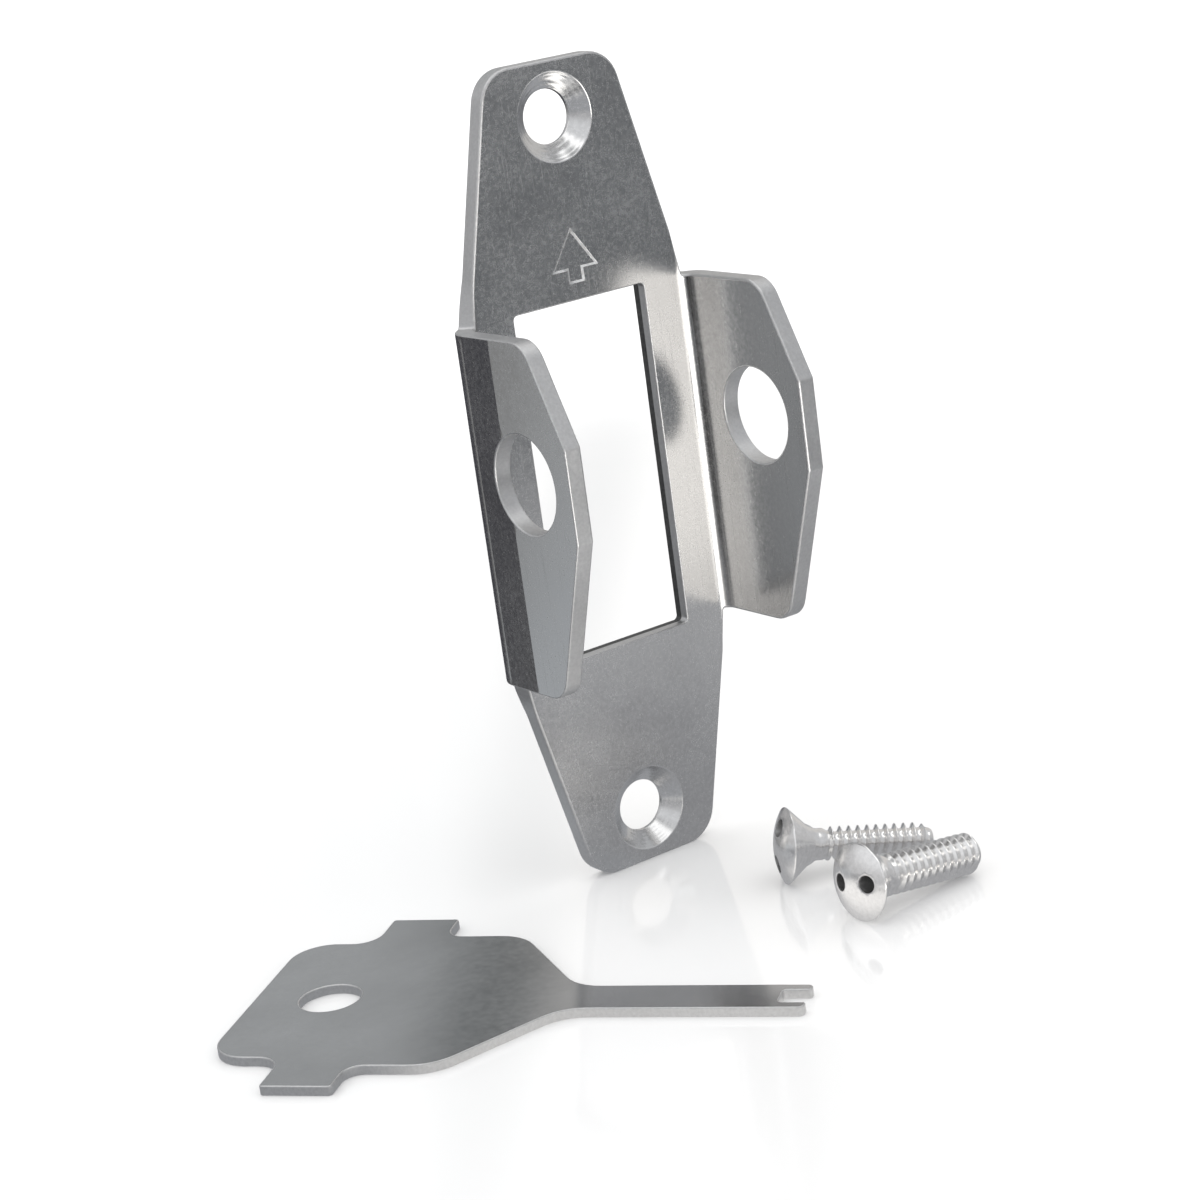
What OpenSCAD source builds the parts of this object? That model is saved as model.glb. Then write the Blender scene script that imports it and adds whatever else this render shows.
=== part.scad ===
// Padlock guard bracket for a toggle switch, with its two tamper-proof screws
// and the flat spanner key that turns them.
//
// The bracket is one piece of bent sheet. It screws flat to a panel: the back
// face of the plate is the plane y = 0, the ears reach forward along -Y, and
// the origin is on the back face, midway between the two screw holes. The
// toggle lever comes through the window, and a padlock shackle through both
// ears shuts it in. The key and the screws lie loose on the plane that the
// bottom end of the bracket touches.

/* [Plate] */
// Distance between the two screw holes, centre to centre
hole_spacing = 60.325; // [55:0.005:64]
// Sheet thickness of the bracket
plate_t = 1.6; // [1:0.1:2]
// Overall height of the bracket, along Z
plate_h = 69.6; // [68:0.1:76]
// Overall width over the two ears, along X
plate_w = 25.4; // [24:0.1:30]
// Width of the tapered tabs at their outer ends
tab_end_w = 12.6; // [11:0.1:16]
// Width of the tapered tabs where they meet the ears
tab_root_w = 22; // [20:0.1:23]
// Corner radius at the outer ends of the tabs
tab_corner_r = 3; // [1:0.1:4]
// Outer radius of the two bends
bend_r = 2.6; // [2.2:0.1:4]

/* [Window] */
// Width of the toggle window
window_w = 13.4; // [11:0.1:15]
// Height of the toggle window
window_h = 30; // [26:0.1:32]
// Corner radius of the toggle window
window_corner_r = 0.4; // [0.1:0.1:1]

/* [Screw holes] */
// Diameter of the through holes for the screws
screw_hole_d = 4.5; // [4:0.1:5]
// Diameter of the countersinks at the front face
countersink_d = 7.4; // [6:0.1:8]
// Angle of the countersinks, side to side
countersink_angle = 100; // [90:1:120]

/* [Ears] */
// Height of the ears where they leave the plate
ear_h = 29.8; // [26:0.1:32]
// Reach of the ears in front of the back face, at their tip
ear_reach = 15.2; // [14.6:0.1:18]
// Reach of the ears at their upper corner
ear_top_reach = 11.2; // [10:0.1:13]
// Reach of the ears at their lower corner
ear_bottom_reach = 10.2; // [9:0.1:12]
// Height of the upper end of the straight tip
tip_top_z = 6.7; // [5:0.1:9]
// Height of the lower end of the straight tip
tip_bottom_z = -1; // [-4:0.1:0]
// Radius of the upper and lower ear corners
ear_corner_r = 2.5; // [1:0.1:3]

/* [Shackle holes] */
// Diameter of the padlock shackle holes
shackle_hole_d = 8.3; // [7:0.1:9]
// Reach of their centre in front of the back face
shackle_reach = 8.9; // [8.6:0.1:9.2]
// Height of their centre above the middle of the plate
shackle_z = 3.2; // [2:0.1:4]

/* [Up mark] */
// Overall width of the engraved up arrow
arrow_w = 4.6; // [3:0.1:6]
// Overall height of the engraved up arrow
arrow_h = 3.4; // [2:0.1:4]
// Depth of the engraving
arrow_depth = 0.1; // [0.05:0.01:0.3]

/* [Screws] */
// Diameter of the screw heads
head_d = 6.5; // [6:0.1:7.2]
// Height of the domed top of the heads
dome_h = 0.9; // [0.6:0.1:1.4]
// Angle under the heads, side to side
under_head_angle = 82; // [80:1:100]
// Outer diameter of the machine screw's thread
machine_d = 3.5; // [3:0.1:3.8]
// Outer diameter of the tapping screw's thread
tapping_d = 2.9; // [2.5:0.1:3.6]
// Length of the machine screw from the rim of its head to its end
machine_l = 12.2; // [10:0.1:16]
// Length of the tapping screw from the rim of its head to its end
tapping_l = 12.7; // [10:0.1:16]
// Distance from one thread to the next on the machine screw
machine_pitch = 0.794; // [0.6:0.001:1]
// Distance from one thread to the next on the tapping screw
tapping_pitch = 0.8; // [0.7:0.01:1.2]
// Length of the tapered end of the tapping screw
point_l = 1; // [0.6:0.1:3]
// Diameter left at the blunt end of the taper
point_end_d = 1.6; // [0.4:0.1:2]
// Diameter of the two driving holes in each head
drive_hole_d = 1.4; // [1.3:0.1:1.5]
// Distance between the two driving holes, centre to centre
drive_spacing = 3.2; // [3:0.1:3.4]
// Depth of the driving holes below the rim of the head
drive_depth = 0.7; // [0.5:0.1:1]

/* [Key] */
// Sheet thickness of the key
key_t = 0.8; // [0.6:0.1:1]
// Overall width across the two side tabs of the handle
key_span = 30.6; // [28:0.1:34]
// Width of each side tab
key_tab_w = 5.9; // [5:0.1:7]
// Diameter of the key-ring hole
ring_hole_d = 5; // [4:0.1:6]
// Width of the blade
blade_w = 4.1; // [3.9:0.1:5]
// Distance from the centre of the ring hole to the end of the blade
blade_reach = 39.2; // [34:0.1:44]
// Depth of the notch between the two prongs
notch_l = 2.2; // [1.5:0.1:3]

/* [Places of the loose pieces] */
// Centre of the key-ring hole, left of the middle of the bracket
key_x = -35.5; // [-45:0.1:-30]
// Centre of the key-ring hole, in front of the back face
key_y = -5; // [-10:0.1:0]
// Direction of the key's blade, seen from above
key_heading = -52; // [-60:1:-45]
// Centre of the machine screw's head
machine_x = 2; // [-2:0.1:6]
// Centre of the machine screw's head, in front of the back face
machine_y = -26.9; // [-34:0.1:-26]
// Direction of the machine screw, seen from above
machine_heading = 0; // [-10:1:10]
// How far the machine screw's driving holes are rolled from upright
machine_roll = 100; // [0:1:180]
// Centre of the tapping screw's head
tapping_x = 3.5; // [3:0.1:5]
// Centre of the tapping screw's head, in front of the back face
tapping_y = -15.8; // [-18:0.1:-15.7]
// Direction of the tapping screw, seen from above
tapping_heading = -25; // [-30:1:-16]
// How far the tapping screw's driving holes are rolled from upright
tapping_roll = 0; // [0:1:180]

/* [Hidden] */
$fn = 96;
steel = "silver";
eps = 1;                  // how far a cutter runs past what it cuts
arc_steps = 8;            // straight steps that stand for one rounded corner
floor_z = -plate_h / 2;   // the plane that the loose pieces lie on
front_y = -plate_t;
countersink_h = (countersink_d - screw_hole_d) / 2 / tan(countersink_angle / 2);
thread_h = 0.45;          // depth of the thread grooves
dome_r = (pow(head_d / 2, 2) + pow(dome_h, 2)) / (2 * dome_h);
chamfer_l = 0.5;          // at the end of the machine screw
machine_neck_l = 0.8;     // plain shank between the head and the threads
tapping_neck_l = 1;
prong_w = 1;
prong_gap = drive_spacing - prong_w;

// ---- outlines ---------------------------------------------------------

function unit(v) = v / norm(v);

// Points that round corner b of the outline a, b, c with radius r
function corner(a, b, c, r) =
    let (
        to_a = unit(a - b),
        to_c = unit(c - b),
        half = acos(to_a * to_c) / 2,
        centre = b + unit(to_a + to_c) * r / sin(half),
        first = b + to_a * r / tan(half) - centre,
        last = b + to_c * r / tan(half) - centre,
        start = atan2(first[1], first[0]),
        turn = (cross(first, last) > 0 ? 1 : -1) * (180 - 2 * half)
    )
    [for (i = [0 : arc_steps])
        let (a = start + turn * i / arc_steps) centre + r * [cos(a), sin(a)]];

function flat(p) = [p[0], p[1]];

// An outline from corners given as [x, y] or, where rounded, [x, y, radius]
function rounded(p) =
    let (n = len(p))
    [for (i = [0 : n - 1])
        each len(p[i]) < 3 ? [p[i]] :
            corner(flat(p[(i + n - 1) % n]), flat(p[i]), flat(p[(i + 1) % n]), p[i][2])];

// The same corners mirrored in the line y = 0 and taken in reverse
function below(p) =
    [for (i = [len(p) - 1 : -1 : 0])
        [for (k = [0 : len(p[i]) - 1]) k == 1 ? -p[i][k] : p[i][k]]];

// Extrudes an outline drawn in X and Z along Y, from y_low to y_high
module along_y(y_low, y_high)
    translate([0, y_high, 0]) rotate([90, 0, 0])
        linear_extrude(height = y_high - y_low) children();

// Extrudes an outline drawn in Y and Z along X, centred
module along_x(length)
    rotate([90, 0, 90]) linear_extrude(height = length, center = true) children();

// ---- bracket ----------------------------------------------------------

// A plan of width w with its two back corners rounded
module rounded_back(w, reach, r) {
    translate([-w / 2, -reach]) square([w, reach - r]);
    translate([-w / 2 + r, -reach]) square([w - 2 * r, reach]);
    for (side = [-1, 1]) translate([side * (w / 2 - r), -r]) circle(r = r);
}

// The bent sheet seen from above
module channel_plan() difference() {
    rounded_back(plate_w, ear_reach, bend_r);
    translate([0, front_y])
        rounded_back(plate_w - 2 * plate_t, ear_reach + eps, bend_r - plate_t);
}

// The bracket seen from the front: two tapered tabs and the ears' full width
module front_outline() polygon(rounded([
    [-tab_end_w / 2, plate_h / 2, tab_corner_r],
    [tab_end_w / 2, plate_h / 2, tab_corner_r],
    [tab_root_w / 2, ear_h / 2],
    [plate_w / 2 + eps, ear_h / 2],
    [plate_w / 2 + eps, -ear_h / 2],
    [tab_root_w / 2, -ear_h / 2],
    [tab_end_w / 2, -plate_h / 2, tab_corner_r],
    [-tab_end_w / 2, -plate_h / 2, tab_corner_r],
    [-tab_root_w / 2, -ear_h / 2],
    [-plate_w / 2 - eps, -ear_h / 2],
    [-plate_w / 2 - eps, ear_h / 2],
    [-tab_root_w / 2, ear_h / 2]
]));

// The bracket seen from its side: the plate and the shape of an ear
module side_outline() polygon(rounded([
    [eps, plate_h / 2 + eps],
    [-bend_r, plate_h / 2 + eps],
    [-bend_r, ear_h / 2],
    [-ear_top_reach, ear_h / 2, ear_corner_r],
    [-ear_reach, tip_top_z],
    [-ear_reach, tip_bottom_z],
    [-ear_bottom_reach, -ear_h / 2, ear_corner_r],
    [-bend_r, -ear_h / 2],
    [-bend_r, -plate_h / 2 - eps],
    [eps, -plate_h / 2 - eps]
]));

module window_outline() polygon(rounded([
    [-window_w / 2, window_h / 2, window_corner_r],
    [window_w / 2, window_h / 2, window_corner_r],
    [window_w / 2, -window_h / 2, window_corner_r],
    [-window_w / 2, -window_h / 2, window_corner_r]
]));

// A plain arrow that shows which end goes up
module arrow_outline() polygon([
    [-arrow_w / 2, 0],
    [0, arrow_h],
    [arrow_w / 2, 0],
    [arrow_w / 6, 0],
    [arrow_w / 6, -arrow_h / 3],
    [-arrow_w / 6, -arrow_h / 3],
    [-arrow_w / 6, 0]
]);

module countersunk_hole() rotate([90, 0, 0]) {
    translate([0, 0, -eps]) cylinder(d = screw_hole_d, h = plate_t + 2 * eps);
    translate([0, 0, plate_t - countersink_h])
        cylinder(d1 = screw_hole_d, d2 = countersink_d, h = countersink_h);
}

module guard_bracket() color(steel) difference() {
    intersection() {
        linear_extrude(height = plate_h, center = true) channel_plan();
        along_y(-ear_reach - eps, eps) front_outline();
        along_x(plate_w + 2 * eps) side_outline();
    }
    along_y(-bend_r, eps) window_outline();
    for (side = [-1, 1]) translate([0, 0, side * hole_spacing / 2]) countersunk_hole();
    translate([-plate_w / 2 - eps, -shackle_reach, shackle_z]) rotate([0, 90, 0])
        cylinder(d = shackle_hole_d, h = plate_w + 2 * eps);
    translate([0, 0, window_h / 2 + 2.6])
        along_y(front_y - eps, front_y + arrow_depth) arrow_outline();
}

// ---- key --------------------------------------------------------------

// Half of the key's outline, from the butt of the handle to the prongs, with
// the ring hole at the origin and the blade along X
half_key = [
    [-6.5, 10.5, 3.2],
    [0, 10.5, 2],
    [0, key_span / 2, 0.3],
    [key_tab_w, key_span / 2, 0.3],
    [key_tab_w, 11.8, 1.5],
    [12.8, 11.8, 4],
    [20.1, blade_w / 2, 4],
    [blade_reach - notch_l - 0.6, blade_w / 2],
    [blade_reach, prong_gap / 2 + prong_w - 0.1, 0.4],
    [blade_reach, prong_gap / 2, 0.2],
    [blade_reach - notch_l, prong_gap / 2, 0.4]
];

module spanner_key() color(steel)
    translate([key_x, key_y, floor_z]) rotate([0, 0, key_heading])
        linear_extrude(height = key_t) difference() {
            polygon(rounded(concat(half_key, below(half_key))));
            circle(d = ring_hole_d);
        }

// ---- screws -----------------------------------------------------------

blend_r = 0.4;   // how far the blend under a head stands out from the shank
blend_l = 0.6;   // how far it runs down the shank

// Height of the cone under a head whose thread has diameter d
function head_h(d) = (head_d - d) / 2 / tan(under_head_angle / 2);

// The cone under a head and the blend that leads it into the shank
function cone(d) = [
    [0, 0],
    [head_d / 2, 0],
    [d / 2 + blend_r, head_h(d + 2 * blend_r)],
    [d / 2, head_h(d) + blend_l]
];

// Grooves between threads of diameter d, as radius and distance below the rim
function grooves(d, first, pitch, count) =
    [for (i = [0 : count - 1]) let (z = first + i * pitch) each [
        [d / 2, z],
        [d / 2 - thread_h, z + pitch * 0.45],
        [d / 2, z + pitch * 0.9]
    ]];

// The dome of the head, cut to the part above the rim
module dome() intersection() {
    translate([0, 0, dome_h - dome_r]) sphere(r = dome_r);
    cylinder(d = head_d, h = dome_h + eps);
}

module driving_holes() for (side = [-1, 1])
    translate([side * drive_spacing / 2, 0, -drive_depth])
        cylinder(d = drive_hole_d, h = drive_depth + dome_h + eps, $fn = 32);

// A screw with its head's rim at the origin and its end down -Z. The shank is
// given as [radius, depth] points that follow the cone under the head.
module screw(d, shank) difference() {
    union() {
        dome();
        rotate_extrude() polygon([
            for (p = concat(cone(d), shank))
                [p[0], -p[1]]
        ]);
    }
    driving_holes();
}

// Lays a screw on the floor: on the rim of its head and on its thread, whose
// last full turn is rest_l from the head
module laid_down(x, y, heading, roll, d, rest_l) {
    tilt = atan((head_d - d) / 2 / rest_l);
    translate([x, y, floor_z + head_d / 2 * cos(tilt)])
        rotate([0, 0, heading]) rotate([0, tilt - 90, 0]) rotate([0, 0, roll]) children();
}

machine_free_l = machine_l - chamfer_l - head_h(machine_d) - machine_neck_l;
machine_threads = floor(machine_free_l / machine_pitch);
machine_shank = concat(
    grooves(machine_d, machine_l - chamfer_l - machine_threads * machine_pitch,
        machine_pitch, machine_threads),
    [[machine_d / 2, machine_l - chamfer_l], [machine_d / 2 - thread_h, machine_l], [0, machine_l]]
);

tapping_free_l = tapping_l - point_l - head_h(tapping_d) - tapping_neck_l;
tapping_threads = floor(tapping_free_l / tapping_pitch);
tapping_shank = concat(
    grooves(tapping_d, tapping_l - point_l - tapping_threads * tapping_pitch,
        tapping_pitch, tapping_threads),
    [[tapping_d / 2, tapping_l - point_l], [point_end_d / 2, tapping_l], [0, tapping_l]]
);

module machine_screw() color(steel)
    laid_down(machine_x, machine_y, machine_heading, machine_roll,
            machine_d, machine_l - chamfer_l)
        screw(machine_d, machine_shank);

module tapping_screw() color(steel)
    laid_down(tapping_x, tapping_y, tapping_heading, tapping_roll,
            tapping_d, tapping_l - point_l)
        screw(tapping_d, tapping_shank);

guard_bracket();
spanner_key();
machine_screw();
tapping_screw();
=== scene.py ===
"""Padlock guard bracket, its spanner key and its two security screws.

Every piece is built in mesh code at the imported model's own size and place. Lengths
in the first part are in millimetres, and MM turns them into the frame's metres.
"""

import math
import random

import bmesh
import bpy
from mathutils import Matrix, Vector
from mathutils.geometry import delaunay_2d_cdt


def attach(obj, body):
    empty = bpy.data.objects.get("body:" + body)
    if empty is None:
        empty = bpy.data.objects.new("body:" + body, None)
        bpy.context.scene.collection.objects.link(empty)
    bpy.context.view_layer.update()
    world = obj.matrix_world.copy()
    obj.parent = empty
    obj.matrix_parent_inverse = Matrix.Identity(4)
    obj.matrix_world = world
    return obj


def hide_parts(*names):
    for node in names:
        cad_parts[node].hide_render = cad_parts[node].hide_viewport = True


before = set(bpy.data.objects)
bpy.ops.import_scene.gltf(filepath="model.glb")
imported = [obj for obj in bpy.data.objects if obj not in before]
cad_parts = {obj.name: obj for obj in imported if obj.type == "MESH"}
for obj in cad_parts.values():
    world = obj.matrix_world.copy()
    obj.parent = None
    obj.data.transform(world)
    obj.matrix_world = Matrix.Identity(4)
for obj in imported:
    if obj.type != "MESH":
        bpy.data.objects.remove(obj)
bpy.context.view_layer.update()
random.seed(7)

MM = 0.001

# ---- dimensions, as in the design ------------------------------------------

HOLE_SPACING = 60.325
PLATE_T = 1.6
PLATE_H = 69.6
PLATE_W = 25.4
TAB_END_W = 12.6
TAB_ROOT_X = 11.0
TAB_CORNER_R = 3.0
BEND_R = 2.6
WINDOW_W, WINDOW_H, WINDOW_CORNER_R = 13.4, 30.0, 0.4
SCREW_HOLE_R, COUNTERSINK_R, COUNTERSINK_HALF_ANGLE = 2.25, 3.7, math.radians(50)
EAR_H = 29.8
EAR_REACH, EAR_TOP_REACH, EAR_BOTTOM_REACH = 15.2, 11.2, 10.2
TIP_TOP_Z, TIP_BOTTOM_Z = 6.7, -1.0
EAR_CORNER_R = 2.5
SHACKLE_R, SHACKLE_REACH, SHACKLE_Z = 4.15, 8.9, 3.2
PRESS_MARK_REACH, PRESS_MARK_TILT, EAR_FLARE = 6.5, math.radians(8), math.radians(2)
ARROW_W, ARROW_H, ARROW_DEPTH, ARROW_BASE_Z = 4.6, 3.4, 0.1, WINDOW_H / 2 + 2.6

HEAD_R, DOME_H = 3.25, 0.9
MACHINE_R, MACHINE_L = 1.75, 12.2
TAPPING_R, TAPPING_L = 1.45, 12.7
BLEND_R, BLEND_L = 0.4, 0.6
DRIVE_R, DRIVE_SPACING, DRIVE_DEPTH = 0.7, 3.2, 0.7
MACHINE_PITCH, MACHINE_CHAMFER = 0.794, 0.5
TAPPING_PITCH, POINT_L, POINT_END_R = 0.8, 1.0, 0.8
UNDER_HEAD_HALF_ANGLE = math.radians(41)
# the neck runs from the end of the head's cone to the first thread
MACHINE_NECK_R, MACHINE_NECK_L = MACHINE_R - 0.02, 0.65
TAPPING_NECK_R, TAPPING_NECK_L = TAPPING_R - 0.1, 1.0
SCREW_SIDES = 72

KEY_T, KEY_SPAN, KEY_TAB_W = 0.8, 30.6, 5.9
RING_HOLE_R, BLADE_W, BLADE_REACH, NOTCH_L = 2.5, 4.1, 39.2, 2.2
PRONG_W = 1.0
PRONG_GAP = DRIVE_SPACING - PRONG_W
# the key's handle, from the middle of its ring hole
BUTT_REACH, BUTT_HALF_W = 6.5, 10.5
SHOULDER_REACH, SHOULDER_HALF_W = 12.8, 11.8
BLADE_START = 20.1

FLOOR_Z = -PLATE_H / 2
# place on the floor, and heading seen from above; for the screws also their roll
KEY_PLACE = (-35.5, -5.0, -52.0)
MACHINE_PLACE = (2.0, -26.9, 0.0, 100.0)
TAPPING_PLACE = (3.5, -15.8, -25.0, 0.0)

# the camera goes round from the front towards the left, then up, then rolls
CAMERA_AZIMUTH, CAMERA_ELEVATION = math.radians(-34.04), math.radians(16.17)
CAMERA_ROLL = math.radians(-7.93)
CAMERA_AIM = (-2.4, -2.0, -10.4)
CAMERA_DISTANCE = 241.4
# a focal length of 2850 pixels in a picture that is 1200 pixels wide
CAMERA_LENS, SENSOR_W = 85.5, 36.0

SKY_R = 3000
FLOOR_HALF_W = 6000
# gaps under the floor's true height, so that nothing lies in the same plane
FLOOR_DROP, TABLE_DROP = 0.02, 0.04

# material slots: of the bracket, whose first two are also the key's, and of a screw
# the engraved slot is rough like engraved steel, and its light tone is a painted highlight
# the slot for the ears' inside faces is a darker copy of the face steel, a painted shade
# the torn slot is rough like torn steel, and its dark tone is painted shade in the walls
FACE, SHEARED, TURNED, TORN_PAINTED_SHADE, ENGRAVED_PAINTED_HIGHLIGHT, PAINTED_EAR_SHADE = range(6)
# the bore slot is rough like drilled steel, and its dark tone is painted shade in the driving holes
METAL, BORE = range(2)


def add_object(name, data):
    obj = bpy.data.objects.new(name, data)
    bpy.context.scene.collection.objects.link(obj)
    return obj


# ---- outlines ---------------------------------------------------------------

def corner_arc(a, b, c, r, step=math.radians(9)):
    """Points that round corner b of the outline a, b, c with radius r."""
    a, b, c = Vector(a), Vector(b), Vector(c)
    to_a, to_c = (a - b).normalized(), (c - b).normalized()
    half = math.acos(max(-1, min(1, to_a.dot(to_c)))) / 2
    centre = b + (to_a + to_c).normalized() * (r / math.sin(half))
    first = b + to_a * (r / math.tan(half)) - centre
    last = b + to_c * (r / math.tan(half)) - centre
    start = math.atan2(first.y, first.x)
    turn = (1 if first.cross(last) > 0 else -1) * (math.pi - 2 * half)
    count = max(3, math.ceil(abs(turn) / step))
    angles = [start + turn * i / count for i in range(count + 1)]
    return [centre + r * Vector((math.cos(t), math.sin(t))) for t in angles]


def rounded(corners):
    """An outline from corners given as (x, y) or, where rounded, (x, y, radius)."""
    out = []
    for i, p in enumerate(corners):
        if len(p) == 2:
            out.append(Vector(p))
        else:
            out += corner_arc(corners[i - 1][:2], p[:2], corners[(i + 1) % len(corners)][:2], p[2])
    return out


def mirrored(corners, axis):
    """The same corners mirrored across x = 0 (axis 0) or y = 0 (axis 1), in reverse."""
    flip = lambda p: tuple(-v if k == axis else v for k, v in enumerate(p))
    return [flip(p) for p in reversed(corners)]


def circle(x, y, r, step=0.22, count=None):
    """A circle of count points, or else of at least 24, about step apart."""
    count = count or max(24, math.ceil(2 * math.pi * r / step))
    return [Vector((x + r * math.cos(2 * math.pi * i / count),
                    y + r * math.sin(2 * math.pi * i / count))) for i in range(count)]


def resampled(outline, step):
    """The outline with its long sides cut into pieces no longer than step."""
    out = []
    for i, p in enumerate(outline):
        q = outline[(i + 1) % len(outline)]
        cuts = max(1, math.ceil((q - p).length / step - 1e-6))
        out += [p.lerp(q, k / cuts) for k in range(cuts)]
    return out


def mitres(outline, is_hole):
    """For each point of a counter-clockwise outline, the way into the sheet's material."""
    out = []
    for i, p in enumerate(outline):
        before = (p - outline[i - 1]).normalized()
        after = (outline[(i + 1) % len(outline)] - p).normalized()
        n1, n2 = Vector((-before.y, before.x)), Vector((-after.y, after.x))
        m = (n1 + n2) / max(0.5, 1 + n1.dot(n2))
        out.append(-m if is_hole else m)
    return out


def inside(p, outline):
    """Whether a point lies within an outline."""
    hit = False
    for i, a in enumerate(outline):
        b = outline[i - 1]
        if (a.y > p.y) != (b.y > p.y) and p.x < (b.x - a.x) * (p.y - a.y) / (b.y - a.y) + a.x:
            hit = not hit
    return hit


# ---- sheet metal ------------------------------------------------------------

FAR, NO_AREA = 300, 1e-8


class Sheet:
    """A flat sheet with worked edges, gathered as points (u, v, depth) and normals.

    Depth runs from 0 on the back face to the thickness on the front face.
    """

    def __init__(self, thickness):
        self.t = thickness
        self.points, self.normals, self.faces, self.slots = [], [], [], []

    def add(self, uv, depth, normal):
        self.points.append((uv.x, uv.y, depth))
        self.normals.append(normal)
        return len(self.points) - 1

    def ring(self, outline, ways, inset, depth, tilt):
        """One ring of points. Tilt is -90 degrees on the back face and 90 on the front."""
        out = []
        for p, way in zip(outline, ways):
            side = -way.normalized() * math.cos(tilt)
            out.append(self.add(p + way * inset, depth, (side.x, side.y, math.sin(tilt))))
        return out

    def wall(self, outline, is_hole, profile, slot, torn=None, torn_depth=0.0):
        """Rings that follow profile, a list of (inset, depth, tilt), joined by quads.

        Slot torn, if given, is for the part of the wall below torn_depth.
        """
        ways = mitres(outline, is_hole)
        rings = [self.ring(outline, ways, *step) for step in profile]
        n = len(outline)
        for low, high, step in zip(rings, rings[1:], profile[1:]):
            for i in range(n):
                k = (i + 1) % n
                quad = [low[i], low[k], high[k], high[i]]
                self.faces.append(quad[::-1] if is_hole else quad)
                self.slots.append(torn if torn is not None and step[1] <= torn_depth else slot)
        return rings[0], rings[-1]

    def cap(self, outer, holes, seeds, front, slot):
        """Fills a face between rings of point numbers. Seeds are free (u, v) points."""
        loops = [outer] + holes
        uv, numbers, edges = [], [], []
        for loop in loops:
            base = len(uv)
            uv += [Vector(self.points[i][:2]) for i in loop]
            numbers += loop
            edges += [(base + i, base + (i + 1) % len(loop)) for i in range(len(loop))]
        outlines = [[Vector(self.points[i][:2]) for i in loop] for loop in loops]
        depth = self.points[outer[0]][2]
        for s in seeds:
            uv.append(s)
            numbers.append(self.add(s, depth, (0, 0, 1 if front else -1)))
        # four far points keep straight stretches of the outline off the convex hull
        uv += [Vector((x, y)) for x in (-FAR, FAR) for y in (-FAR, FAR)]
        numbers += [None] * 4
        verts, _, tris, origin, _, _ = delaunay_2d_cdt(uv, edges, [], 0, 1e-6)
        first = [numbers[o[0]] if o else None for o in origin]
        for tri in tris:
            centre = (verts[tri[0]] + verts[tri[1]] + verts[tri[2]]) / 3
            if not inside(centre, outlines[0]) or any(inside(centre, h) for h in outlines[1:]):
                continue
            a, b, c = (first[i] for i in tri)
            area = (verts[tri[1]] - verts[tri[0]]).cross(verts[tri[2]] - verts[tri[0]])
            if abs(area) < NO_AREA:
                continue
            self.faces.append([a, b, c] if (area > 0) == front else [a, c, b])
            self.slots.append(slot)

    def reslot(self, old, new, where):
        """Moves the faces of slot old that lie wholly where the test holds to slot new."""
        for i, face in enumerate(self.faces):
            if self.slots[i] == old and all(where(self.points[k]) for k in face):
                self.slots[i] = new

    def build(self, name, place, materials):
        """Makes the object. Place turns a point and its normal into the frame, in mm."""
        placed = [place(Vector(p), Vector(n)) for p, n in zip(self.points, self.normals)]
        mesh = bpy.data.meshes.new(name)
        mesh.from_pydata([p * MM for p, _ in placed], [], self.faces)
        for m in materials:
            mesh.materials.append(m)
        mesh.polygons.foreach_set("material_index", self.slots)
        mesh.polygons.foreach_set("use_smooth", [True] * len(self.faces))
        mesh.normals_split_custom_set_from_vertices([n.normalized() for _, n in placed])
        mesh.update()
        return add_object(name, mesh)


def edge_profile(t, back_r, front_r, steps=3, torn=0.45):
    """A sheared edge: a small burr radius at the back, a rolled-over one at the front.

    Torn is the share of the thickness that broke off instead of being cut.
    """
    quarter = [math.pi / 2 * i / steps for i in range(steps + 1)]
    back = [(back_r * (1 - math.sin(a)), back_r * (1 - math.cos(a)), a - math.pi / 2)
            for a in quarter]
    front = [(front_r * (1 - math.cos(a)), t - front_r * (1 - math.sin(a)), a)
             for a in quarter]
    return back + [(0, t * torn, 0), (0, t * torn + 0.03, 0)] + front


def countersink_profile(t, back_r, flare):
    """A through hole that opens in a cone of the given flare, with faint turning marks."""
    slope = math.tan(COUNTERSINK_HALF_ANGLE)
    depth = flare / slope
    tilt = math.pi / 2 - COUNTERSINK_HALF_ANGLE
    soft = 0.06
    low = soft * math.sin(COUNTERSINK_HALF_ANGLE)
    marks = [(low + (flare - soft - low) * i / 12, random.uniform(-0.06, 0.06))
             for i in range(1, 12)]
    cone = [(r, t - (flare - r) / slope, tilt + wobble) for r, wobble in marks]
    return edge_profile(t, back_r, back_r)[:4] + [
        (0, t - depth - soft, 0),
        (low, t - depth + soft * 0.5, tilt),
        *cone,
        (flare - soft, t - soft / slope, tilt),
        (flare, t - soft * 0.2, math.radians(70)),
        (flare + soft, t, math.pi / 2),
    ]


def seed_points(columns, rows, outer, holes, clear):
    """Grid points inside the outline that keep clear of every outline."""
    loops = [outer] + holes
    edge = [p for loop in loops for p in resampled(loop, clear)]
    cells = {}
    for p in edge:
        cells.setdefault((int(p.x // clear), int(p.y // clear)), []).append(p)
    out = []
    for x in columns:
        for y in rows:
            p = Vector((x, y))
            if not inside(p, outer) or any(inside(p, h) for h in holes):
                continue
            cx, cy = int(x // clear), int(y // clear)
            near = [q for i in (-1, 0, 1) for j in (-1, 0, 1)
                    for q in cells.get((cx + i, cy + j), [])]
            if all((p - q).length > clear * 0.75 for q in near):
                out.append(p)
    return out


def spread(low, high, step):
    """Evenly spaced values from low to high, about step apart."""
    count = max(1, round((high - low) / step))
    return [low + (high - low) * i / count for i in range(count + 1)]


RANGE_INPUTS = ("From Min", "From Max", "To Min", "To Max")


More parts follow.
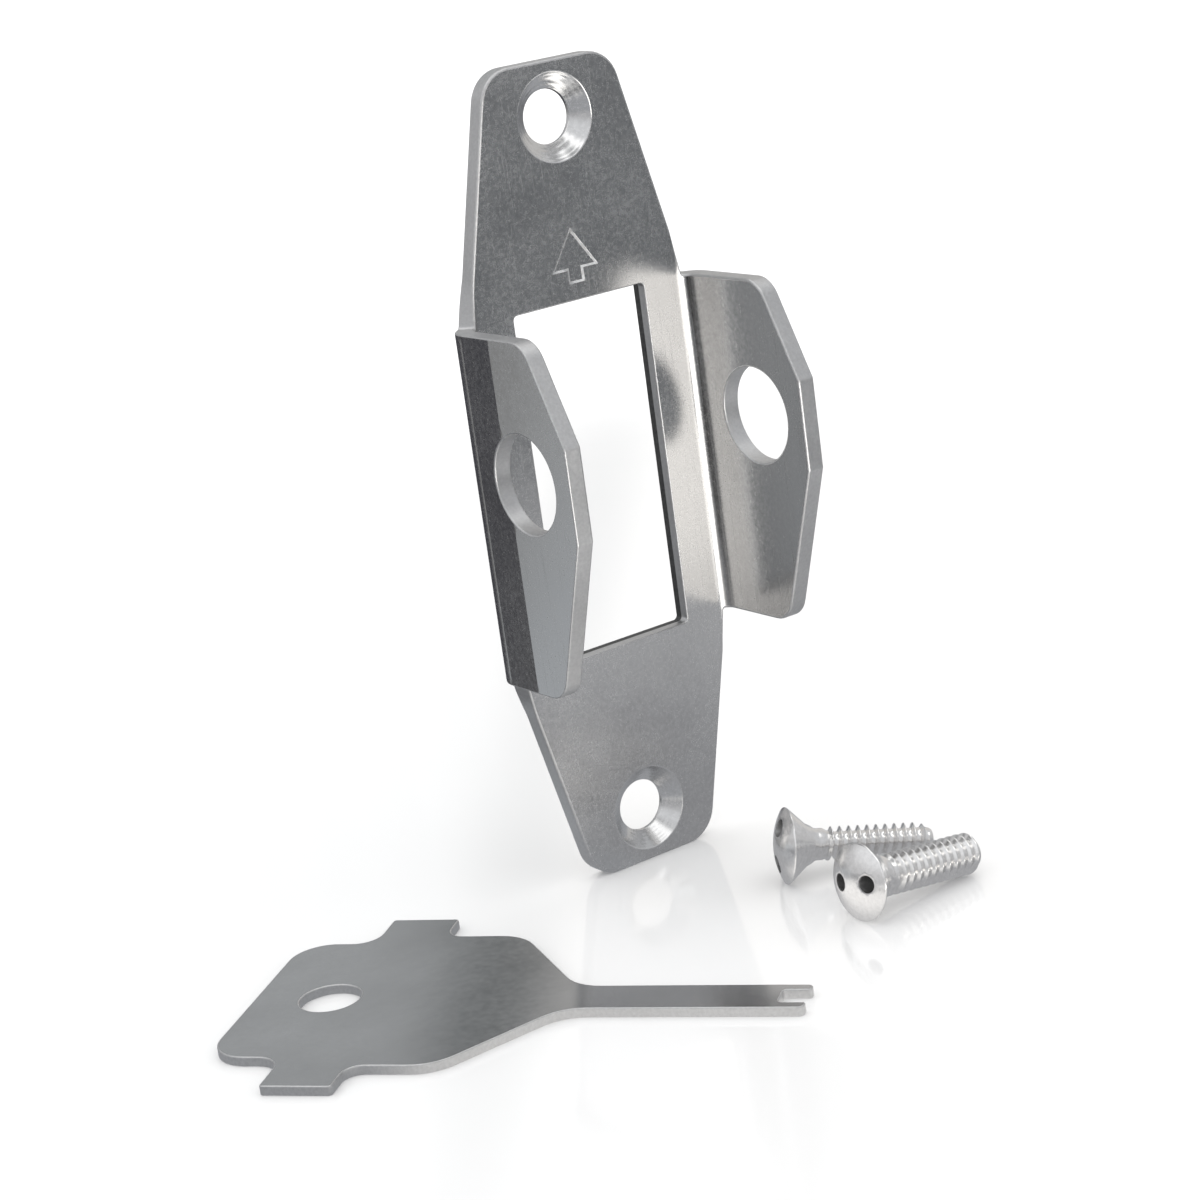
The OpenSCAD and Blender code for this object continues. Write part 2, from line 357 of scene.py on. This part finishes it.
def steel(name, tone, roughness, grain, grain_size, bump, warmth=0.0):
    """Bare stainless steel.

    Tone is its reflectance. Grain says how much a mottle of grain_size mm changes it, and
    bump is the mottle's height in mm. A weak grain also makes the roughness more even.
    """
    mat = bpy.data.materials.new(name)
    mat.use_nodes = True
    nodes, links = mat.node_tree.nodes, mat.node_tree.links
    bsdf = nodes["Principled BSDF"]
    bsdf.inputs["Metallic"].default_value = 1.0
    coords = nodes.new("ShaderNodeTexCoord")

    def noise(size, detail, stretch=(1, 1, 1)):
        scale = nodes.new("ShaderNodeMapping")
        scale.inputs["Scale"].default_value = [1 / (MM * size * s) for s in stretch]
        tex = nodes.new("ShaderNodeTexNoise")
        tex.inputs["Scale"].default_value = 1.0
        tex.inputs["Detail"].default_value = detail
        tex.inputs["Roughness"].default_value = 0.55
        links.new(coords.outputs["Object"], scale.inputs["Vector"])
        links.new(scale.outputs["Vector"], tex.inputs["Vector"])
        return tex.outputs["Fac"]

    def levels(value, low, high, out_low, out_high):
        node = nodes.new("ShaderNodeMapRange")
        for key, v in zip(RANGE_INPUTS, (low, high, out_low, out_high)):
            node.inputs[key].default_value = v
        links.new(value, node.inputs["Value"])
        return node.outputs["Result"]

    def math_node(operation, a, b):
        node = nodes.new("ShaderNodeMath")
        node.operation = operation
        for socket, v in zip(node.inputs, (a, b)):
            if isinstance(v, (int, float)):
                socket.default_value = v
            else:
                links.new(v, socket)
        return node.outputs[0]

    mottle = noise(grain_size, 3.0)
    cloud = noise(9.0, 2.0)
    scratch = noise(0.12, 1.0, (1, 1, 60))
    speckle = levels(mottle, 0.3, 0.7, 1 - grain, 1 + grain)
    shade = math_node("MULTIPLY", speckle, levels(cloud, 0.3, 0.7, 0.94, 1.06))
    colour = nodes.new("ShaderNodeCombineColor")
    for socket, k in zip(("Red", "Green", "Blue"), (1 + warmth, 1.0, 1 - warmth)):
        links.new(math_node("MULTIPLY", shade, tone * k), colour.inputs[socket])
    links.new(colour.outputs["Color"], bsdf.inputs["Base Color"])
    uneven = min(1, grain / 0.08)
    patches = levels(cloud, 0.3, 0.7, -0.03 * uneven, 0.03 * uneven)
    rough = math_node("ADD", levels(mottle, 0.3, 0.7, -0.04 * uneven, 0.05 * uneven), patches)
    rough = math_node("ADD", rough, levels(scratch, 0.62, 0.75, 0.0, 0.06 * uneven))
    links.new(math_node("ADD", rough, roughness), bsdf.inputs["Roughness"])
    waves = levels(cloud, 0, 1, 0, 0.02 * MM)
    height = math_node("ADD", levels(mottle, 0, 1, 0, bump * MM), waves)
    relief = nodes.new("ShaderNodeBump")
    relief.inputs["Distance"].default_value = 1.0
    links.new(height, relief.inputs["Height"])
    links.new(relief.outputs["Normal"], bsdf.inputs["Normal"])
    return mat


# ---- bracket ----------------------------------------------------------------

BEND_START = PLATE_W / 2 - BEND_R
BEND_MID_R = BEND_R - PLATE_T / 2
BEND_LENGTH = BEND_MID_R * math.pi / 2


def flat_u(reach):
    """Distance from the middle of the flat blank to a point of an ear, given its reach."""
    return BEND_START + BEND_LENGTH + reach - BEND_R


def folded(p, n):
    """Folds a point of the flat blank, and its normal, into the bent bracket."""
    side = 1 if p.x >= 0 else -1
    u = abs(p.x)
    if u <= BEND_START:
        return Vector((p.x, -p.z, p.y)), Vector((n.x, -n.z, n.y))
    angle = min((u - BEND_START) / BEND_MID_R, math.pi / 2)
    leg = max(0.0, u - BEND_START - BEND_LENGTH)
    lean = 0.0
    if p.z <= 0 and 0 < leg and u < flat_u(PRESS_MARK_REACH):
        lean = PRESS_MARK_TILT
    elif p.z >= PLATE_T and 0 < leg:
        lean = EAR_FLARE
    s, c = math.sin(angle), math.cos(angle)
    x = BEND_START + (BEND_R - p.z) * s
    y = -BEND_R + (BEND_R - p.z) * c - leg
    s, c = math.sin(angle - lean), math.cos(angle - lean)
    nx, ny = n.x * side * c - n.z * s, -n.x * side * s - n.z * c
    return Vector((side * x, y, p.y)), Vector((side * nx, ny, n.y))


def make_bracket(materials):
    """The folded guard. Its materials follow the slots FACE to PAINTED_EAR_SHADE."""
    root_u = BEND_START + BEND_MID_R * math.asin((TAB_ROOT_X - BEND_START) / BEND_MID_R)
    right = [
        (TAB_END_W / 2, -PLATE_H / 2, TAB_CORNER_R),
        (root_u, -EAR_H / 2, 0.3),
        (flat_u(EAR_BOTTOM_REACH), -EAR_H / 2, EAR_CORNER_R),
        (flat_u(EAR_REACH), TIP_BOTTOM_Z, 0.5),
        (flat_u(EAR_REACH), TIP_TOP_Z, 0.5),
        (flat_u(EAR_TOP_REACH), EAR_H / 2, EAR_CORNER_R),
        (root_u, EAR_H / 2, 0.3),
        (TAB_END_W / 2, PLATE_H / 2, TAB_CORNER_R),
    ]
    window = [(WINDOW_W / 2, side * WINDOW_H / 2, WINDOW_CORNER_R) for side in (-1, 1)]
    arrow = [(0, ARROW_H), (-ARROW_W / 2, 0), (-ARROW_W / 6, 0), (-ARROW_W / 6, -ARROW_H / 3),
             (ARROW_W / 6, -ARROW_H / 3), (ARROW_W / 6, 0), (ARROW_W / 2, 0)]
    outer = resampled(rounded(right + mirrored(right, 0)), 0.3)
    window = resampled(rounded(window + mirrored(window, 0)), 0.4)
    arrow = resampled([Vector((x, y + ARROW_BASE_Z)) for x, y in arrow], 0.7)
    screw_holes = [circle(0, side * HOLE_SPACING / 2, SCREW_HOLE_R) for side in (-1, 1)]
    ear_u = flat_u(SHACKLE_REACH)
    shackles = [circle(side * ear_u, SHACKLE_Z, SHACKLE_R) for side in (-1, 1)]

    sheet = Sheet(PLATE_T)
    backs, fronts = [], []

    def wall(outline, is_hole, profile, slot, *torn):
        back, front = sheet.wall(outline, is_hole, profile, slot, *torn)
        backs.append(back)
        fronts.append(front)

    wall(outer, False, edge_profile(PLATE_T, 0.12, 0.22), SHEARED)
    # the lower part of the window's walls and of the screw holes' bores takes the torn slot: rough
    # like torn steel, and its dark tone is painted shade
    wall(window, True, edge_profile(PLATE_T, 0.08, 0.12), SHEARED, TORN_PAINTED_SHADE, 0.5 * PLATE_T)
    for hole in screw_holes:
        profile = countersink_profile(PLATE_T, 0.1, COUNTERSINK_R - SCREW_HOLE_R)
        wall(hole, True, profile, TURNED, TORN_PAINTED_SHADE, 0.3)
    for hole in shackles:
        wall(hole, True, edge_profile(PLATE_T, 0.15, 0.15), SHEARED)
    bottom = PLATE_T - ARROW_DEPTH
    groove = [(-0.16, bottom, math.pi / 2), (-0.13, bottom + 0.01, 0.6),
              (-0.02, PLATE_T - 0.02, 0.6), (0.03, PLATE_T, math.pi / 2)]
    # the groove's walls take the engraved slot: rough like engraved steel, and its light tone is a
    # painted highlight on both walls
    groove_floor, groove_rim = sheet.wall(arrow, True, groove, ENGRAVED_PAINTED_HIGHLIGHT)
    sheet.cap(groove_floor, [], [], True, FACE)

    bend = spread(BEND_START, BEND_START + BEND_LENGTH, BEND_MID_R * math.radians(5))
    ear = spread(BEND_START + BEND_LENGTH, flat_u(EAR_REACH), 1.0)[1:]
    plate = spread(-BEND_START, BEND_START, 1.0)[1:-1]
    mark = flat_u(PRESS_MARK_REACH)
    ear += [BEND_START + BEND_LENGTH + 0.05, mark - 0.03, mark + 0.03]
    columns = [-u for u in reversed(bend + ear)] + plate + bend + ear
    rows = spread(-PLATE_H / 2, PLATE_H / 2, 0.9)
    wide = [circle(0, side * HOLE_SPACING / 2, COUNTERSINK_R + 0.1) for side in (-1, 1)]
    seeds = seed_points(columns, rows, outer, [window] + wide + shackles + [arrow], 0.5)
    sheet.cap(backs[0], backs[1:], seeds, False, FACE)
    sheet.cap(fronts[0], fronts[1:] + [groove_rim], seeds, True, FACE)
    # the ears' inside faces take a darker copy of the face steel, a painted shade
    mid_bend = BEND_START + BEND_LENGTH * 0.5
    sheet.reslot(FACE, PAINTED_EAR_SHADE, lambda p: p[2] > PLATE_T - 0.001 and abs(p[0]) > mid_bend)
    return sheet.build("bent_guard_bracket", folded, materials)


# ---- key --------------------------------------------------------------------

def make_key(materials):
    """The flat key, laid on the floor. Its materials follow the slots FACE and SHEARED."""
    half = [
        (-BUTT_REACH, BUTT_HALF_W, 3.2),
        (0, BUTT_HALF_W, 2.0),
        (0, KEY_SPAN / 2, 0.3),
        (KEY_TAB_W, KEY_SPAN / 2, 0.3),
        (KEY_TAB_W, SHOULDER_HALF_W, 1.5),
        (SHOULDER_REACH, SHOULDER_HALF_W, 4.0),
        (BLADE_START, BLADE_W / 2, 4.0),
        (BLADE_REACH - NOTCH_L - 0.6, BLADE_W / 2),
        (BLADE_REACH, PRONG_GAP / 2 + PRONG_W - 0.1, 0.4),
        (BLADE_REACH, PRONG_GAP / 2, 0.2),
        (BLADE_REACH - NOTCH_L, PRONG_GAP / 2, 0.4),
    ]
    outer = resampled(rounded(half + mirrored(half, 1)), 0.4)[::-1]
    hole = circle(0, 0, RING_HOLE_R)
    sheet = Sheet(KEY_T)
    profile = edge_profile(KEY_T, 0.08, 0.12)
    outer_back, outer_front = sheet.wall(outer, False, profile, SHEARED)
    hole_back, hole_front = sheet.wall(hole, True, profile, SHEARED)
    seeds = seed_points(spread(-6, BLADE_REACH, 1.2), spread(-KEY_SPAN / 2, KEY_SPAN / 2, 1.2),
                        outer, [hole], 0.95)
    sheet.cap(outer_back, [hole_back], seeds, False, FACE)
    sheet.cap(outer_front, [hole_front], seeds, True, FACE)
    x, y, heading = KEY_PLACE
    turn = Matrix.Rotation(math.radians(heading), 3, "Z")
    lay = lambda p, n: (turn @ p + Vector((x, y, FLOOR_Z)), turn @ n)
    return sheet.build("flat_spanner_key", lay, materials)


# ---- screws -----------------------------------------------------------------

class Turned:
    """A part turned about an axis, as points, faces and material slots.

    Depth runs along the axis, down from the rim of the screw's head.
    """

    def __init__(self, points, faces, slots):
        self.points, self.faces, self.slots = points, faces, slots

    def add(self, r, angle, depth):
        self.points.append(Vector((r * math.cos(angle), r * math.sin(angle), -depth)))
        return len(self.points) - 1

    def ring(self, r, depth):
        """A row of points that closes on itself."""
        return [self.add(r, 2 * math.pi * i / SCREW_SIDES, depth) for i in range(SCREW_SIDES)]

    def join(self, upper, lower):
        """Quads between two rings, or between two turns of a helix."""
        for i in range(SCREW_SIDES):
            k = (i + 1) % len(upper)
            self.faces.append([upper[i], lower[i], lower[k], upper[k]])
            self.slots.append(METAL)

    def close(self, r, depth):
        """The flat end."""
        rim = self.ring(r, depth)
        middle = self.add(0, 0, depth)
        for i in range(SCREW_SIDES):
            self.faces.append([rim[(i + 1) % SCREW_SIDES], rim[i], middle])
            self.slots.append(METAL)


def spanner_head():
    """The domed top with its two driving holes, and the ring of points at its edge."""
    edge = circle(0, 0, HEAD_R - 0.12, count=SCREW_SIDES)
    bores = [circle(side * DRIVE_SPACING / 2, 0, DRIVE_R, 0.12) for side in (-1, 1)]
    flat = math.pi / 2
    # depth is 0 on a hole's floor and 1 on the dome, whatever the dome's height is there
    profile = [(-0.5, -0.12, flat), (-0.05, 0.02, 0.8), (0, 0.1, 0), (0, 0.93, 0),
               (0.02, 0.98, 0.6), (0.07, 1.0, flat)]
    sheet = Sheet(1.0)
    rims = []
    # the driving holes take the bore slot: rough like drilled steel, and its dark tone is painted
    # shade
    for hole in bores:
        floor, rim = sheet.wall(hole, True, profile, BORE)
        sheet.cap(floor, [], [], True, BORE)
        rims.append(rim)
    outer = [sheet.add(p, 1.0, (0, 0, 1)) for p in edge]
    grid = spread(-HEAD_R, HEAD_R, 0.35)
    sheet.cap(outer, rims, seed_points(grid, grid, edge, bores, 0.25), True, METAL)
    dome_r = (HEAD_R ** 2 + DOME_H ** 2) / (2 * DOME_H)

    def domed(u, v, depth):
        top = math.sqrt(dome_r ** 2 - math.hypot(u, v) ** 2) - (dome_r - DOME_H)
        return Vector((u, v, -DRIVE_DEPTH + depth * (top + DRIVE_DEPTH)))

    points = [domed(*p) for p in sheet.points]
    return Turned(points, list(sheet.faces), list(sheet.slots)), outer


def cone_h(thread_r):
    return (HEAD_R - thread_r) / math.tan(UNDER_HEAD_HALF_ANGLE)


def add_neck(screw, edge, thread_r, neck_r, start):
    """The head's rim, its cone, the blend below it and the plain neck down to start."""
    cone_end = cone_h(thread_r)
    blend_start = cone_end - BLEND_R / math.tan(UNDER_HEAD_HALF_ANGLE)
    for r, depth in ((HEAD_R - 0.03, -0.02), (HEAD_R, 0.05), (HEAD_R - 0.03, 0.11),
                     (thread_r + BLEND_R, blend_start), (thread_r + 0.14, cone_end + 0.05),
                     (neck_r + 0.03, cone_end + 0.35), (neck_r, cone_end + BLEND_L),
                     (neck_r, start)):
        lower = screw.ring(r, depth)
        screw.join(edge, lower)
        edge = lower


def add_thread(screw, neck_r, start, length, pitch, form, end):
    """A helical thread that grows out of the neck and is cut off at the end.

    Form is one turn's section as (share of the pitch, radius). End gives the largest
    radius at a distance below the head's rim.
    """
    turns = math.ceil((length - start) / pitch) + 1
    rows = []
    for k in range((turns + 1) * len(form) + 1):
        share, radius = form[k % len(form)]
        row = []
        for i in range(SCREW_SIDES + 1):
            depth = start + pitch * (k // len(form) - 1 + share + i / SCREW_SIDES)
            fade = min(1, max(0, (depth - start) / pitch))
            r = neck_r + (radius - neck_r) * fade
            depth = min(max(depth, start), length)
            row.append(screw.add(min(r, end(depth)), 2 * math.pi * i / SCREW_SIDES, depth))
        rows.append(row)
    for upper, lower in zip(rows, rows[1:]):
        screw.join(upper, lower)
    screw.close(end(length), length)


def make_screw(name, place, thread_r, neck_r, neck_l, length, pitch, form, end, rest_l, materials):
    """A spanner screw with a true helical thread, laid down on its head and its thread.

    Rest_l is how far below the head's rim the thread touches the floor. The materials
    follow the slots METAL and BORE.
    """
    screw, edge = spanner_head()
    start = cone_h(thread_r) + neck_l
    add_neck(screw, edge, thread_r, neck_r, start)
    add_thread(screw, neck_r, start, length, pitch, form, end)
    x, y, heading, roll = place
    tilt = math.atan((HEAD_R - thread_r) / rest_l)
    lay = (Matrix.Translation((x, y, FLOOR_Z + HEAD_R * math.cos(tilt)))
           @ Matrix.Rotation(math.radians(heading), 4, "Z")
           @ Matrix.Rotation(tilt - math.pi / 2, 4, "Y")
           @ Matrix.Rotation(math.radians(roll), 4, "Z"))
    mesh = bpy.data.meshes.new(name)
    mesh.from_pydata([(lay @ p) * MM for p in screw.points], [], screw.faces)
    for m in materials:
        mesh.materials.append(m)
    mesh.polygons.foreach_set("material_index", screw.slots)
    clean(mesh)
    return add_object(name, mesh)


def clean(mesh):
    """Merges points that fall together, drops flat slivers and shades by angle."""
    work = bmesh.new()
    work.from_mesh(mesh)
    bmesh.ops.remove_doubles(work, verts=work.verts, dist=0.002 * MM)
    bmesh.ops.dissolve_degenerate(work, edges=work.edges, dist=0.001 * MM)
    bmesh.ops.recalc_face_normals(work, faces=work.faces)
    work.to_mesh(mesh)
    work.free()
    mesh.polygons.foreach_set("use_smooth", [True] * len(mesh.polygons))
    mesh.set_sharp_from_angle(angle=math.radians(38))


def machine_end(depth):
    """The 45 degree chamfer at the machine screw's end."""
    return min(MACHINE_R, MACHINE_R - MACHINE_CHAMFER + (MACHINE_L - depth))


def tapping_end(depth):
    """The tapping screw's blunt taper."""
    share = (TAPPING_L - depth) / POINT_L
    return min(TAPPING_R, POINT_END_R + (TAPPING_R - POINT_END_R) * share)


MACHINE_FORM = [(0.0, MACHINE_R - 0.02), (0.06, MACHINE_R), (0.12, MACHINE_R - 0.02),
                (0.48, MACHINE_R - 0.46), (0.62, MACHINE_R - 0.46), (0.98, MACHINE_R - 0.04)]
TAPPING_FORM = [(0.0, TAPPING_R), (0.05, TAPPING_R), (0.30, TAPPING_R - 0.42),
                (0.50, TAPPING_R - 0.47), (0.75, TAPPING_R - 0.42)]

sheet_steel = steel("satin_stainless", 0.60, 0.24, grain=0.08, grain_size=0.3, bump=0.0003)
sheared = steel("sheared_stainless", 0.59, 0.42, grain=0.08, grain_size=0.25, bump=0.002)
# torn steel for the lower walls: rough like a torn edge, and its dark tone is painted shade in the
# window's walls and the holes' bores
torn = steel("torn_painted_shade_stainless", 0.12, 0.6, grain=0.3, grain_size=0.2, bump=0.01)
turned = steel("turned_stainless", 0.68, 0.2, grain=0.06, grain_size=0.3, bump=0.001)
# the ears' inside faces: the satin steel at a darker tone, a painted shade
painted_ear_shade = steel("painted_ear_shade_stainless", 0.385, 0.22, grain=0.1, grain_size=0.35, bump=0.0003, warmth=0.01)
# the groove's walls: rough like engraved steel, and its light tone is a painted highlight that
# lights both walls alike
engraved_painted_highlight = steel("engraved_painted_highlight_stainless", 0.80, 0.5, grain=0.1, grain_size=0.2, bump=0.004)
rolled = steel("rolled_stainless", 0.60, 0.14, grain=0.02, grain_size=0.6, bump=0.0)
bright = steel("bright_stainless", 0.86, 0.2, grain=0.05, grain_size=0.35, bump=0.0012, warmth=0.01)
# the driving holes: rough like drilled steel, and its dark tone is painted shade in the holes
drilled_painted_shade = steel("drilled_painted_shade_stainless", 0.35, 0.4, grain=0.15, grain_size=0.2, bump=0.004)

bracket = make_bracket([sheet_steel, sheared, turned, torn, engraved_painted_highlight, painted_ear_shade])
key = make_key([rolled, sheared])
machine = make_screw(
    "oval_machine_screw", MACHINE_PLACE, MACHINE_R, MACHINE_NECK_R, MACHINE_NECK_L, MACHINE_L,
    MACHINE_PITCH, MACHINE_FORM, machine_end, MACHINE_L - MACHINE_CHAMFER, [bright, drilled_painted_shade])
tapping = make_screw(
    "oval_tapping_screw", TAPPING_PLACE, TAPPING_R, TAPPING_NECK_R, TAPPING_NECK_L, TAPPING_L,
    TAPPING_PITCH, TAPPING_FORM, tapping_end, TAPPING_L - POINT_L, [bright, drilled_painted_shade])

for piece, body, node, slot in (
        (bracket, "bracket", "guard_bracket", "bracket_steel"),
        (key, "key", "spanner_key", "key_steel"),
        (machine, "machine_screw", "machine_screw", "screw_steel"),
        (tapping, "tapping_screw", "tapping_screw", "screw_steel")):
    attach(piece, body)
    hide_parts(node)


# ---- floor, light and camera -------------------------------------------------

def smooth(low, high, v):
    """0 below low, 1 above high, and a soft step between."""
    t = max(0.0, min(1.0, (v - low) / (high - low)))
    return t * t * (3 - 2 * t)


def bump_at(centre, half, soft, v):
    """1 within half of centre, fading to 0 over soft. Angles wrap at 360 degrees."""
    off = abs((v - centre + 180) % 360 - 180)
    return 1 - smooth(half, half + soft, off)


def heading_of(x, y):
    """Degrees from +Y, the back, towards +X, the right."""
    return math.degrees(math.atan2(x, y))


def blend(colour, other, share):
    return tuple(a + (b - a) * share for a, b in zip(colour, other))


def layered(colour, layers):
    """The colour with layers of (tone, share) blended over it in turn."""
    for tone, share in layers:
        colour = blend(colour, tone, share)
    return colour


def floor_glow(x, y):
    """What the metal sees of the table, at a place in mm: gray boards and lit patches."""
    r, heading = math.hypot(x, y), heading_of(x, y)
    front = blend((0.40, 0.405, 0.42), (0.56, 0.565, 0.58), smooth(35, 60, r))
    front = blend(front, (0.18, 0.19, 0.20), smooth(120, 172, r))
    near_patch = bump_at(-150, 26, 12, heading) * smooth(11, 18, r) * (1 - smooth(60, 100, r))
    warm_line = blend((0.12, 0.117, 0.113), (0.28, 0.27, 0.255), smooth(75, 125, r))
    return layered((0.42, 0.43, 0.45), (
        # front right, then close in at the front left
        (front, bump_at(146, 40, 25, heading)),
        ((0.95, 0.94, 0.93), near_patch),
        # three narrow strips towards the back left
        ((0.62, 0.65, 0.68), bump_at(-46, 6, 5, heading)),
        ((0.10, 0.10, 0.11), bump_at(-68, 8, 8, heading) * smooth(10, 30, r)),
        (warm_line, bump_at(-34, 3, 4, heading)),
        # a dark board behind, and a lit patch far out in front
        ((0.07, 0.07, 0.08), bump_at(11, 38, 6, heading) * smooth(10, 40, r)),
        ((4.2, 4.1, 3.95), bump_at(-163, 13, 12, heading) * smooth(50, 80, r)),
    ))


def back_board(heading, height):
    """The uneven board at the back right, with a dark gap down its middle."""
    ripple = 0.03 * math.sin(heading * 4.1) + 0.02 * math.sin(heading * 7.3 + 1)
    gap = 30.1 + 0.36 * (24 - height)
    return layered((0.46 + ripple, 0.475 + ripple, 0.485 + ripple), (
        ((0.68, 0.665, 0.65), smooth(30.5, 32.5, heading)),
        ((0.12, 0.13, 0.135), bump_at(gap, 0.8, 0.7, heading)),
    ))


def sky_glow(x, y, z):
    """What the metal sees above the table, in a direction: soft boxes, boards and gaps."""
    heading, height = heading_of(x, y), math.degrees(math.asin(z))
    board_share = bump_at(34, 35, 20, heading) * (1 - smooth(38, 50, height))
    return layered((0.55, 0.55, 0.56), (
        # soft boxes at the left and at the front right
        ((0.85, 0.86, 0.88), bump_at(-90, 40, 30, heading) * smooth(5, 25, height)),
        ((0.62, 0.63, 0.65), bump_at(140, 45, 30, heading) * smooth(5, 25, height)),
        (back_board(heading, height), board_share),
        # the overhead light, and a darker middle so that flat metal shows from above
        ((1.7, 1.7, 1.7), smooth(52, 62, height)),
        ((0.42, 0.43, 0.44), smooth(68, 78, height)),
    ))


def glow_surface(name, points, faces, colours):
    """A surface that only shows in reflections and lights nothing else."""
    mesh = bpy.data.meshes.new(name)
    mesh.from_pydata([Vector(p) * MM for p in points], [], faces)
    glow = mesh.color_attributes.new("glow", "FLOAT_COLOR", "POINT")
    glow.data.foreach_set("color", [v for c in colours for v in (*c, 1.0)])
    mat = bpy.data.materials.new(name)
    mat.use_nodes = True
    nodes, links = mat.node_tree.nodes, mat.node_tree.links
    nodes.clear()
    attribute = nodes.new("ShaderNodeAttribute")
    attribute.attribute_name = "glow"
    emission = nodes.new("ShaderNodeEmission")
    output = nodes.new("ShaderNodeOutputMaterial")
    links.new(attribute.outputs["Color"], emission.inputs["Color"])
    links.new(emission.outputs["Emission"], output.inputs["Surface"])
    mat.cycles.emission_sampling = "NONE"
    mesh.materials.append(mat)
    obj = add_object(name, mesh)
    obj.visible_camera = False
    obj.visible_diffuse = False
    obj.visible_shadow = False
    obj.visible_transmission = False
    obj.visible_volume_scatter = False


def make_reflections():
    """The studio as the metal sees it: a table just under the floor and a dome."""
    radii = [0] + [4 * 1.12 ** i for i in range(60)]
    headings = spread(0, 360, 3)[:-1]
    table_z = FLOOR_Z - TABLE_DROP
    points = [(r * math.sin(math.radians(a)), r * math.cos(math.radians(a)), table_z)
              for r in radii for a in headings]
    glow_surface("table_reflection", points, lattice(len(radii), len(headings)),
                 [floor_glow(x, y) for x, y, _ in points])
    heights = spread(-3, 90, 1.5)
    headings = spread(0, 360, 0.5)[:-1]
    ways = []
    for h in heights:
        for a in headings:
            c = math.cos(math.radians(h))
            ways.append((math.sin(math.radians(a)) * c, math.cos(math.radians(a)) * c,
                         math.sin(math.radians(h))))
    glow_surface("sky_reflection", [(SKY_R * x, SKY_R * y, SKY_R * z) for x, y, z in ways],
                 lattice(len(heights), len(headings)), [sky_glow(*way) for way in ways])


def lattice(rows, columns):
    """Quads over rows of points that each close on themselves."""
    return [(r * columns + c, r * columns + (c + 1) % columns,
             (r + 1) * columns + (c + 1) % columns, (r + 1) * columns + c)
            for r in range(rows - 1) for c in range(columns)]


def make_floor():
    """A matt white floor with a slight polish around the object."""
    mat = bpy.data.materials.new("pale_floor")
    mat.use_nodes = True
    nodes, links = mat.node_tree.nodes, mat.node_tree.links
    bsdf = nodes["Principled BSDF"]
    bsdf.inputs["Base Color"].default_value = (0.88, 0.88, 0.88, 1)
    bsdf.inputs["Roughness"].default_value = 0.1
    bsdf.inputs["IOR"].default_value = 2.0
    coords = nodes.new("ShaderNodeTexCoord")
    distance = nodes.new("ShaderNodeVectorMath")
    distance.operation = "LENGTH"
    polish = nodes.new("ShaderNodeMapRange")
    polish.interpolation_type = "SMOOTHSTEP"
    for key, v in zip(RANGE_INPUTS, (0.08, 0.2, 1.0, 0.0)):
        polish.inputs[key].default_value = v
    links.new(coords.outputs["Object"], distance.inputs[0])
    links.new(distance.outputs["Value"], polish.inputs["Value"])
    links.new(polish.outputs["Result"], bsdf.inputs["Specular IOR Level"])
    mesh = bpy.data.meshes.new("floor")
    signs = [(-1, -1), (1, -1), (1, 1), (-1, 1)]
    corners = [Vector((x * FLOOR_HALF_W, y * FLOOR_HALF_W, FLOOR_Z - FLOOR_DROP)) * MM
               for x, y in signs]
    mesh.from_pydata(corners, [], [(0, 1, 2, 3)])
    mesh.materials.append(mat)
    floor = add_object("floor", mesh)
    # the metal sees table_reflection instead
    floor.visible_glossy = False


def make_world():
    """An even white studio."""
    world = bpy.data.worlds.new("studio")
    bpy.context.scene.world = world
    world.use_nodes = True
    background = world.node_tree.nodes["Background"]
    background.inputs["Color"].default_value = (1, 1, 1, 1)
    background.inputs["Strength"].default_value = 1.46


def make_camera():
    """Looks from the front left and a little above, rolled so the bracket leans left."""
    back = Vector((math.sin(CAMERA_AZIMUTH) * math.cos(CAMERA_ELEVATION),
                   -math.cos(CAMERA_AZIMUTH) * math.cos(CAMERA_ELEVATION),
                   math.sin(CAMERA_ELEVATION)))
    camera = add_object("camera", bpy.data.cameras.new("camera"))
    camera.data.sensor_width = SENSOR_W
    camera.data.lens = CAMERA_LENS
    camera.data.clip_start = 0.005
    camera.location = (Vector(CAMERA_AIM) + back * CAMERA_DISTANCE) * MM
    level = back.to_track_quat("Z", "Y").to_matrix()
    camera.rotation_euler = (level @ Matrix.Rotation(CAMERA_ROLL, 3, "Z")).to_euler()
    bpy.context.scene.camera = camera


make_floor()
make_reflections()
make_world()
make_camera()
bpy.context.scene.view_settings.view_transform = "Standard"
